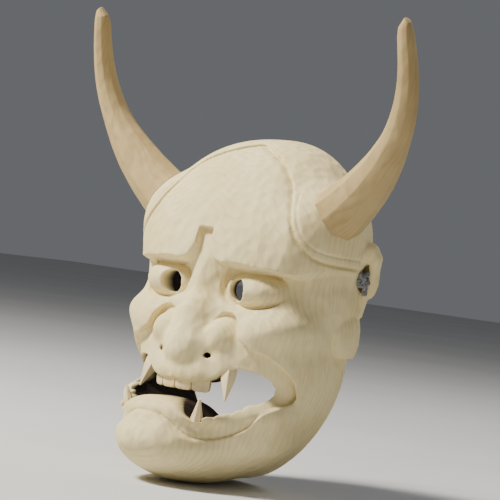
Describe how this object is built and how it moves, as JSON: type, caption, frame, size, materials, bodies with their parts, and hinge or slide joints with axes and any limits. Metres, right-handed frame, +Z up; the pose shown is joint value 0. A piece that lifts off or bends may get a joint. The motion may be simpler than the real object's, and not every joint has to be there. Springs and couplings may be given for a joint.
{
  "type": "noh mask",
  "caption": "Unpainted carved wooden noh mask of a horned, fanged demon, hollow behind, with pull-out horns and a cord knotted through the ears.",
  "frame": {"origin": "middle of the flat back rim, level with the bridge of the nose", "axes": "+Z up as worn or hung, +Y out of the back of the mask towards the wearer or wall, +X to the right of someone facing the mask"},
  "size_m": [0.2594, 0.108, 0.2887],
  "materials": {
    "hinoki": "matt, tool-cut",
    "hinoki_teeth": "matt, tool-cut",
    "horn_wood": "matt, faceted with a knife",
    "cord_fibre": "twisted cotton"
  },
  "bodies": {
    "mask": {"mask_body": "hinoki", "upper_teeth": "hinoki_teeth", "upper_fang_left": "hinoki_teeth", "upper_fang_right": "hinoki_teeth", "lower_fang_left": "hinoki_teeth", "lower_fang_right": "hinoki_teeth", "hanging_cord": "cord_fibre", "cord_knot_left": "cord_fibre", "cord_knot_right": "cord_fibre"},
    "horn_left": {"horn_left": "horn_wood"},
    "horn_right": {"horn_right": "horn_wood"}
  },
  "joints": [
    {"name": "horn_right_pull", "type": "slide", "parent": "mask", "child": "horn_right", "axis": [0.8076, -0.1066, 0.58], "range_m": [0, 0.012]},
    {"name": "horn_left_pull", "type": "slide", "parent": "mask", "child": "horn_left", "axis": [-0.8076, -0.1066, 0.58], "range_m": [0, 0.012]}
  ]
}
